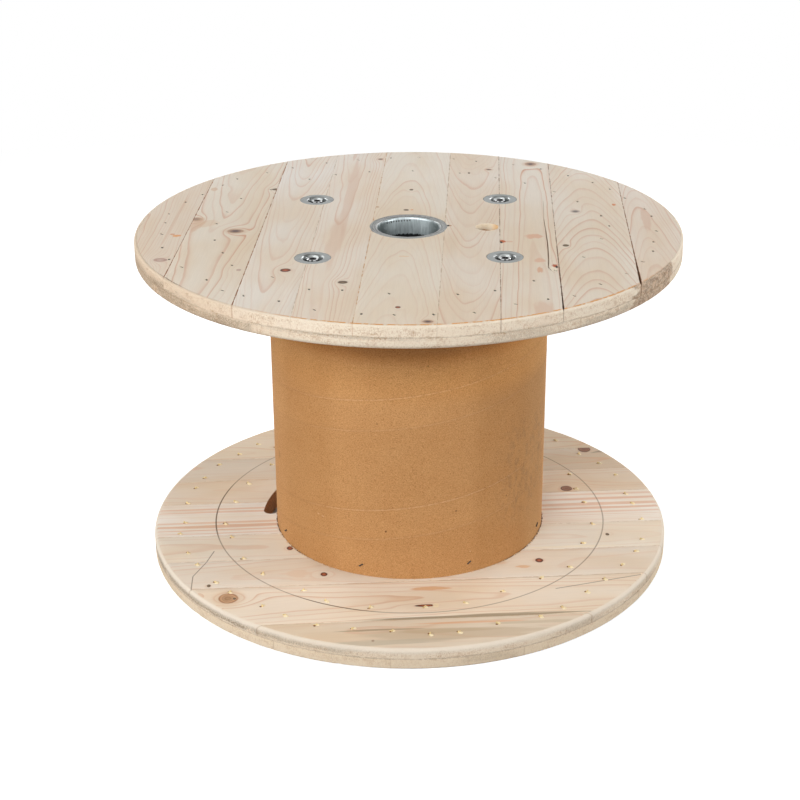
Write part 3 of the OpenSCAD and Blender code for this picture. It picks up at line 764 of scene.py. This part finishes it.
# small marks on it: angle, height, half length, half height, colour, strength
paperMarks = [(-157.9, 151.5, 5, 6, (140, 100, 66), 0.4), (-96.9, 97.9, 1.4, 1.8, (86, 56, 34), 0.8),
              (-68.4, 123.7, 1.8, 1.2, (90, 66, 44), 0.7), (-44, 125.2, 1.2, 1.4, (96, 70, 48), 0.7),
              (-127.6, 103, 2.4, 1.2, (218, 178, 134), 0.6), (-125.2, 101.6, 2.6, 1.2, (218, 178, 134), 0.6),
              (-62, 60, 1.0, 1.0, (222, 190, 150), 0.6), (-100, 250, 1.2, 1.4, (110, 76, 46), 0.5),
              (-80, 330, 1.4, 1.2, (104, 72, 44), 0.5)]


def drawProfile(points):
    # a chain of edges in the XZ plane, drawn point by point
    bpy.ops.mesh.primitive_plane_add(size=0.001, location=(points[0][0], 0, points[0][1]))
    bpy.ops.object.mode_set(mode="EDIT")
    bpy.ops.mesh.merge(type="CENTER")
    for (r0, z0), (r1, z1) in zip(points, points[1:]):
        bpy.ops.mesh.extrude_region_move(TRANSFORM_OT_translate={"value": (r1 - r0, 0, z1 - z0)})
    bpy.ops.object.mode_set(mode="OBJECT")
    bpy.ops.object.transform_apply(location=True, rotation=True, scale=True)
    return bpy.context.object


def kraftFinish():
    paper = Finish("kraft_board")
    place = paper.node("TexCoord", out="Object")
    x, y, z = paper.parts(place)
    fine = paper.noise(place, (720, 720, 960), 4.0, 3.0, 0.7)
    fibre = paper.noise(place, (260, 260, 900), 9.0, 3.0, 0.6)
    cloud = paper.noise(place, (14, 14, 22), 15.0, 3.0, 0.55)
    paper.colour = paper.blend(cloud.step(0.3, 0.7), (195, 145, 93), (191, 140, 88))
    paper.paint(fibre.step(0.52, 0.74) * 0.34, (214, 168, 120))
    paper.paint(fine.step(0.52, 0.64) * 0.62, (142, 93, 50))
    paper.paint(fine.step(0.47, 0.36) * 0.45, (219, 173, 119))
    # along the windings' edges a faint painted shade and a pale line, partly worn paper and partly painted
    # highlight, fading towards the sides; the outer edge shows more than the one under it
    angle, pitch = paper.degrees(y, x), barrel["pitch"]
    wound = paper.maths("FRACT", (z - barrel["start"]) / pitch - angle / 360 + 4)
    wearAndHighlight = fibre.step(0.36, 0.56) * (abs(x - 0.02).step(0.16, 0.11) * 0.85 + 0.15)
    for edge, level in ((0, barrel["seamLevel"]), (barrel["ridge"]["at"] / pitch, barrel["ridgeLevel"])):
        apart = abs(paper.maths("FRACT", wound - edge + 0.5) - 0.5) * (pitch * 1000)
        paper.paint(apart.step(3.4, 1.2) * 0.12, (150, 104, 64))
        paper.paint(apart.step(1.3, 0.5) * wearAndHighlight * level, (226, 184, 138))
    aroundMm = math.pi / 180 * barrel["radius"] * 1000  # to the degree
    for turned, high, halfLong, halfHigh, shade, strength in paperMarks:
        away = paper.oval((angle - turned) * aroundMm, z * 1000 - high, halfLong, halfHigh)
        paper.paint((away + (fibre - 0.5) * 0.8).step(1.1, 0.6) * strength, shade)
    # a handled patch on the right of the tube, rubbed grey
    smudge = paper.noise(place, (60, 60, 90), 23.0, 4.0, 0.7)
    strokes = paper.noise(place, (150, 150, 55), 27.0, 3.0, 0.6)
    inFront = y.step(0.0, -0.05)
    patch = abs(z - 0.155).step(0.1, 0.04) * x.step(0.105, 0.15) * inFront
    paper.paint(patch * smudge.step(0.36, 0.66) * strokes.step(0.36, 0.64) * 0.36, (112, 94, 76))
    # painted shade: greyer at the right edge and duller on either side of the middle
    paper.dim(x.step(0.135, 0.18) * inFront * 0.5, (0.72, 0.78, 0.84))
    paper.dim(abs(x).step(0.08, 0.105) * abs(x).step(0.168, 0.15), (0.91, 0.89, 0.85))
    # painted light below the flange and painted shadow right under it
    paintedLightBand = z.step(0.262, 0.304) * z.step(0.352, 0.335) * (x.step(-0.05, 0.11) * 0.6 + 0.55)
    paper.dim(paintedLightBand, (1.2, 1.17, 1.07))
    paper.dim(z.step(0.323, 0.347), (0.81, 0.7, 0.59))
    height = fine * 0.6 + fibre * 0.6
    return paper.surface(0.78 + fibre * 0.1, 0.0, height, 0.00025, 0.5, Specular_IOR_Level=0.25)


radius, start, ridge = barrel["radius"], barrel["start"], barrel["ridge"]
profile = [(radius + r, start + z) for r, z in barrel["seam"]]
profile += [(radius, start + ridge["at"] - ridge["before"]), (radius + ridge["rise"], start + ridge["at"]),
            (radius, start + ridge["at"] + ridge["after"]), (radius, start + barrel["pitch"])]
tube = drawProfile(profile)
tube.name = "barrel_wound"
applyModifier(tube, "SCREW", angle=2 * math.pi, screw_offset=barrel["pitch"], iterations=barrel["turns"],
              steps=barrel["steps"], render_steps=barrel["steps"], use_merge_vertices=True,
              merge_threshold=0.00001)
openForEdit(tube)
bpy.ops.mesh.select_all(action="SELECT")
bpy.ops.mesh.remove_doubles(threshold=0.00002)
for key, side in (("low", "clear_inner"), ("high", "clear_outer")):
    bpy.ops.mesh.bisect(plane_co=(0, 0, barrel[key]), plane_no=(0, 0, 1), **{side: True})
    bpy.ops.mesh.select_all(action="SELECT")
bpy.ops.mesh.normals_make_consistent(inside=False)
closeEdit()
applyModifier(tube, "SOLIDIFY", thickness=barrel["wall"], offset=-1, use_rim=True)
smooth(tube, 30)
dress(tube, kraftFinish(), "barrel", "barrel_tube")
print("barrel:", len(tube.data.polygons), "faces")

# the tie rods stand in mm from the axis and in degrees: far right, far left, near left, near right
rods = {"away": 171, "angles": (45.5, 139.5, 228.5, 317)}
# finish, colour, roughness, how much its crystals show, grime, metallic, and the nodes that have it
metals = {
    "washer": ("zinc_plate", (162, 166, 165), 0.27, 0.16, 0.45, 0.85, ("top_washers", "bottom_washers")),
    # the nut's near white shows only as painted glints; its shader paints the rest of it dark as shade
    "nut": ("nut_zinc", (246, 247, 248), 0.16, 0.04, 0.0, 0.6, ("top_nuts", "bottom_nuts")),
    # the rods' near black is painted shade, for the dark hole their ends show inside the nuts
    "rod": ("rod_steel", (22, 21, 20), 0.75, 0.1, 0.2, 0.0,
            ("tie_rod_1", "tie_rod_2", "tie_rod_3", "tie_rod_4")),
    # the nail heads' dark colour is partly dirt and partly painted shade of the holes they are sunk in
    "nail": ("nail_steel", (50, 51, 40), 0.6, 0.2, 0.6, 0.2, ("top_nails",)),
    "tip": ("nail_points", (232, 210, 154), 0.55, 0.3, 0.3, 0.0, ("bottom_nails",)),
    "staple": ("staple_steel", (70, 68, 64), 0.45, 0.12, 0.5, 0.5, ("top_staples", "bottom_staples")),
}


def fromRod(metal, x, y):
    # x and y in mm from the axis of the tie rod in the same quarter
    right, far = [metal.maths("GREATER_THAN", value, 0.0) for value in (x, y)]
    moved = []
    for value, circular in ((x, math.cos), (y, math.sin)):
        rodAt = [rods["away"] * circular(math.radians(angle)) for angle in rods["angles"]]
        farRight, farLeft, nearLeft, nearRight = rodAt
        centre = right * (nearRight - nearLeft) + far * (farLeft - nearLeft)
        centre = centre + right * far * (farRight - farLeft - nearRight + nearLeft)
        moved.append(value - nearLeft - centre)
    return moved


def belowFace(z):
    # z in mm, taken from the nearer of the drum's two faces
    return drum["height"] / 2 - abs(z - drum["height"] / 2)


def zincFinish(kind, name, base, rough, crystals, grime, metallic):
    metal = Finish(name)
    place = metal.node("TexCoord", out="Object")
    cells = {"Vector": place, "Scale": 300.0, "Smoothness": 0.35}
    cells = metal.node("TexVoronoi", {"feature": "SMOOTH_F1"}, cells, out="Color")
    cellLevel = metal.node("SeparateColor", {}, {"Color": cells})
    mottle = metal.noise(place, (220, 220, 220), 3.0)
    fine = metal.noise(place, (1400, 1400, 1400), 5.0, 3.0, 0.7)
    cloud = metal.noise(place, (60, 60, 60), 8.0, 3.0, 0.6)
    level = 0.86 + cellLevel * crystals + (fine - 0.5) * 0.2 + (mottle - 0.5) * 0.15
    metal.colour = metal.blend(1.0, base, level, "MULTIPLY")
    metal.paint(cloud.step(0.5, 0.75) * grime, (84, 82, 76))
    x, y, z = metal.parts(metal.inMillimetres(place))
    x, y = fromRod(metal, x, y)
    depth, fromBolt = belowFace(z), metal.length(x, y)
    if kind == "washer":
        # painted shade on the dish's floor and at its sides, and darker round the washer's outer edge
        metal.paint(depth.step(5.2, 7.0) * 0.92, (24, 25, 25))
        metal.paint(abs(x).step(4.5, 8.0) * depth.step(0.6, 2.0) * 0.75, (58, 60, 60))
        metal.paint(fromBolt.step(21.6, 22.6) * 0.45, (96, 100, 100))
    if kind == "nut":
        # painted glints on the chamfer at both sides and twice in front; the rest, the nut's sides and the
        # ring round the rod's end are painted dark as shade
        turn = metal.degrees(y, x)
        front = abs(turn + 90)
        darkBetweenGlints = metal.larger(abs(turn - 90).step(66, 50), front.step(17, 10))
        darkBetweenGlints = metal.larger(darkBetweenGlints, front.within(42, 56, 4))
        paintedShade = metal.larger(depth.step(2.2, 3.2), fromBolt.step(4.9, 4.5))
        metal.paint(metal.larger(darkBetweenGlints * 0.9, paintedShade), (20, 20, 20))
    rough = rough + cellLevel * 0.14 + fine * 0.08
    return metal.surface(rough, metallic, fine + cellLevel * 0.4, 0.00004, 0.2)


for kind, (*look, dressed) in metals.items():
    finish = zincFinish(kind, *look)
    for node in dressed:
        nodes[node].data.materials.clear()
        nodes[node].data.materials.append(finish)

# where a nail's tip comes out it lifts a pale flake of wood, with a dark disc beside it as painted shadow,
# and the saw left splinters along the groove; half sizes in metres
flakes = {
    "face": 0.0289, "sides": 8, "taper": 0.45, "off": 0.0024, "soft": 50, "tipsBetween": (0.0293, 0.04),
    "tip": (0.0034, 0.0027, 0.0019), "bruise": (0.0021, 0.0019, 0.0008), "sliver": (0.0016, 0.00055, 0.0006),
    "grooveAt": 0.1862, "slivers": 130, "crowded": (math.pi * 1.24, math.pi * 1.78),
}


def tornWood(name, shade, dark):
    wood = Finish(name)
    grain = wood.noise(wood.node("TexCoord", out="Object"), (900, 2600, 2600), 3.0, 3.0, 0.65)
    wood.colour = wood.blend(grain.step(0.36, 0.66), dark, shade)
    return wood.surface(0.7, 0.0, grain, 0.0003, 0.6, IOR=1.45, Specular_IOR_Level=0.25)


def spots(node, low, high):
    # where the pieces of a group come through a face
    found = []
    for vert in nodes[node].data.vertices:
        if low < vert.co.z < high:
            near = [s for s in found if abs(s[0] / s[2] - vert.co.x) + abs(s[1] / s[2] - vert.co.y) < 0.011]
            if near:
                near[0][0] += vert.co.x
                near[0][1] += vert.co.y
                near[0][2] += 1
            else:
                found.append([vert.co.x, vert.co.y, 1])
    return [(x / n, y / n) for x, y, n in found]


def scattered(name, places, material):
    # one torn flake, copied to every place: x, y, turn and size
    bpy.ops.mesh.primitive_cone_add(vertices=flakes["sides"], radius1=1, radius2=flakes["taper"], depth=1)
    master = bpy.context.object
    pieces = []
    for x, y, turn, size in places:
        piece = master.copy()
        piece.data = master.data.copy()
        bpy.context.collection.objects.link(piece)
        for vert in piece.data.vertices:
            vert.co = (vert.co.x * rng.uniform(0.75, 1.25), vert.co.y * rng.uniform(0.75, 1.25),
                       (vert.co.z + 0.5) * rng.uniform(0.6, 1.0))
        placed = Matrix.Translation((x, y, flakes["face"])) @ Matrix.Rotation(turn, 4, "Z")
        piece.data.transform(placed @ Matrix.Diagonal((*size, 1)))
        pieces.append(piece)
    bpy.data.objects.remove(master)
    whole = joined(pieces, name)
    smooth(whole, flakes["soft"])
    dress(whole, material, "bottom_boards")


def scaled(key, scale):
    return [s * scale for s in flakes[key]]


tips = spots("bottom_nails", *flakes["tipsBetween"])
print("nail tips:", len(tips))
lifted, shadowDiscs = [], []
for x, y in tips:
    way = rng.uniform(-0.9, 0.9)
    scale = rng.uniform(0.7, 1.1)
    offX, offY = flakes["off"] * math.cos(way), flakes["off"] * math.sin(way)
    lifted.append((x + offX, y + offY, rng.uniform(-0.5, 0.5), scaled("tip", scale)))
    shadowDiscs.append((x - 0.7 * offX, y - offY, 0, scaled("bruise", scale)))
scattered("bottom_tip_flakes", lifted, tornWood("torn_wood", (252, 243, 216), (238, 216, 168)))
scattered("bottom_tip_bruises", shadowDiscs, tornWood("bruised_wood", (150, 92, 46), (84, 46, 22)))
slivers = []
for k in range(flakes["slivers"]):
    # most of them are on the left and the right, few in front and behind
    turn = rng.choice((*flakes["crowded"], rng.uniform(0, 2 * math.pi))) + rng.uniform(-0.42, 0.42)
    away = flakes["grooveAt"] + rng.uniform(-0.0003, 0.0012)
    scale = rng.uniform(0.6, 1.5)
    x, y = away * math.cos(turn), away * math.sin(turn)
    slivers.append((x, y, turn + rng.uniform(-1.2, 1.2), scaled("sliver", scale)))
scattered("bottom_groove_splinters", slivers, tornWood("sawn_splinters", (240, 224, 196), (206, 170, 128)))

# bushings: crimping has split the turned lip into small slots, and left the crown ragged
bushing = {
    "faces": {"top_bushing": (0.451, -1), "bottom_bushing": (0.0, 1)}, "crown": 0.0295, "crownFrom": 0.002,
    "soft": 40, "slots": 10, "first": 137, "step": 5.2, "slotAway": 0.0402, "under": 0.0052,
    "slotSize": (0.0024, 0.0015, 0.0022),
}


def bushingFinish():
    # pressed sheet: the flange is scuffed in rings, the sleeve streaked from the draw
    sheet = Finish("galvanised_sheet")
    place = sheet.node("TexCoord", out="Object")
    x, y, z = sheet.parts(place)
    away, angle = sheet.length(x, y) * 1000, sheet.maths("ARCTAN2", y, x)
    rings = sheet.noise(sheet.point(away, angle), (1.5, 1.7, 1), 3.0, 3.0, 0.7)
    draws = sheet.noise(sheet.point(angle, z * 1000), (26, 0.06, 1), 6.0, 3.0, 0.6)
    mottle = sheet.noise(place, (170, 170, 170), 9.0, 3.0, 0.6)
    fine = sheet.noise(place, (1300, 1300, 1300), 5.0, 2.0, 0.7)
    flat, depth = away.step(41.0, 41.9), belowFace(z * 1000)
    plate = sheet.blend(rings.step(0.35, 0.7), (100, 102, 101), (192, 193, 191))
    plate = sheet.blend(mottle.step(0.52, 0.68) * 0.5, plate, (92, 93, 93))
    sheet.colour = sheet.blend(draws.step(0.3, 0.7), (182, 193, 195), (210, 221, 223))
    # painted shade: the sleeve darker at its left and right
    sheet.paint(abs(x).step(0.02, 0.037) * 0.85, (84, 91, 90))
    sheet.paint(mottle.step(0.5, 0.75) * 0.35, (222, 230, 234))
    # painted shade: the crown at its foot is painted dark, and so are the slots under the lip
    sheet.paint((depth + (draws - 0.5) * 6).step(22.8, 24.2) * 0.96, (26, 27, 27))
    sheet.paint(away.step(40.25, 40.6) * depth.step(3.2, 3.6), (12, 12, 12))
    sheet.paint(flat, plate)
    height = rings * flat + draws * (1 - flat) * depth.step(2.5, 6.0) * 0.6 + fine * 0.3
    return sheet.surface(0.38 + rings * flat * 0.12, 0.45, height, 0.0001, 0.3)


sheetFinish = bushingFinish()
for node, (faceZ, down) in bushing["faces"].items():
    sleeve = copyOf(node, node.replace("_", "_pressed_"))
    crownZ = faceZ + down * bushing["crown"]
    for vert in sleeve.data.vertices:
        if (vert.co.z - crownZ) * down > bushing["crownFrom"]:
            ragged = 1 + rng.uniform(-0.01, 0.02)
            z = (vert.co.z - crownZ) * rng.uniform(0.6, 0.95) + crownZ
            vert.co = (vert.co.x * ragged, vert.co.y * ragged, z)
    boxes = []
    for k in range(bushing["slots"]):
        turn = math.radians(bushing["first"] - k * bushing["step"] + rng.uniform(-0.6, 0.6))
        z = faceZ + down * (bushing["under"] + rng.uniform(0, 0.0004))
        x, y = bushing["slotAway"] * math.cos(turn), bushing["slotAway"] * math.sin(turn)
        bpy.ops.mesh.primitive_cube_add(size=1, location=(x, y, z), rotation=(0, 0, turn),
                                        scale=bushing["slotSize"])
        boxes.append(bpy.context.object)
    cutAway(sleeve, settle(joined(boxes, "slots")))
    smooth(sleeve, bushing["soft"])
    dress(sleeve, sheetFinish, "bushing", node)
print("metal")
